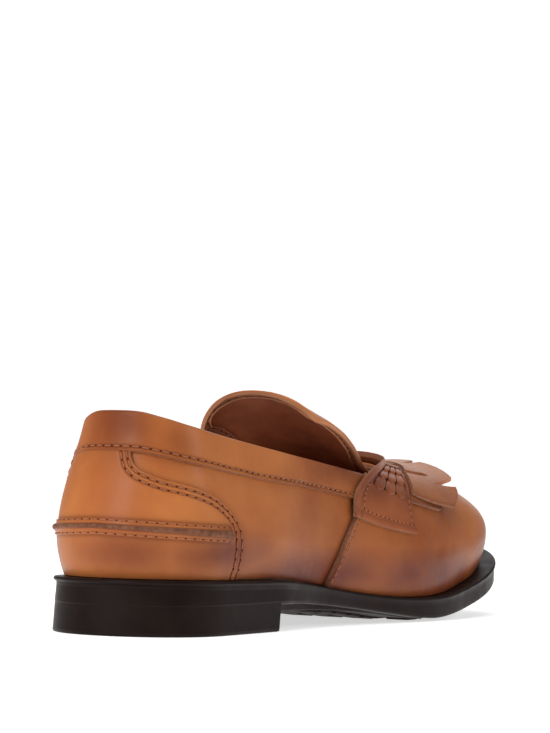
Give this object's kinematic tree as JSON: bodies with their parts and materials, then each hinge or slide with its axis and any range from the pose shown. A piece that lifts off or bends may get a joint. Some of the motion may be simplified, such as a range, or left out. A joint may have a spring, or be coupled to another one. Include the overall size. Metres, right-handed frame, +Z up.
{
  "type": "loafer",
  "caption": "Slip-on leather loafer with a woven saddle strap, a fringed flap, a raised seam round the heel and a low heeled rubber sole.",
  "frame": {"origin": "centre of the flat face under the heel block, on the floor", "axes": "+X from heel to toe, +Z up, and the shoe's outer side at -Y"},
  "size_m": [0.302, 0.0995, 0.0976],
  "materials": {
    "leather": "satin, burnished",
    "lining": "matte",
    "sole": "satin"
  },
  "bodies": {
    "root": {"outsole": "sole", "forefoot_tread": "sole", "heel_block": "sole", "welt": "sole", "insole": "lining", "upper": "leather", "collar_band": "leather", "heel_counter": "leather", "heel_ridge": "leather", "tongue": "leather", "saddle_strap": "leather", "kiltie_base": "leather", "kiltie": "leather"}
  },
  "joints": []
}
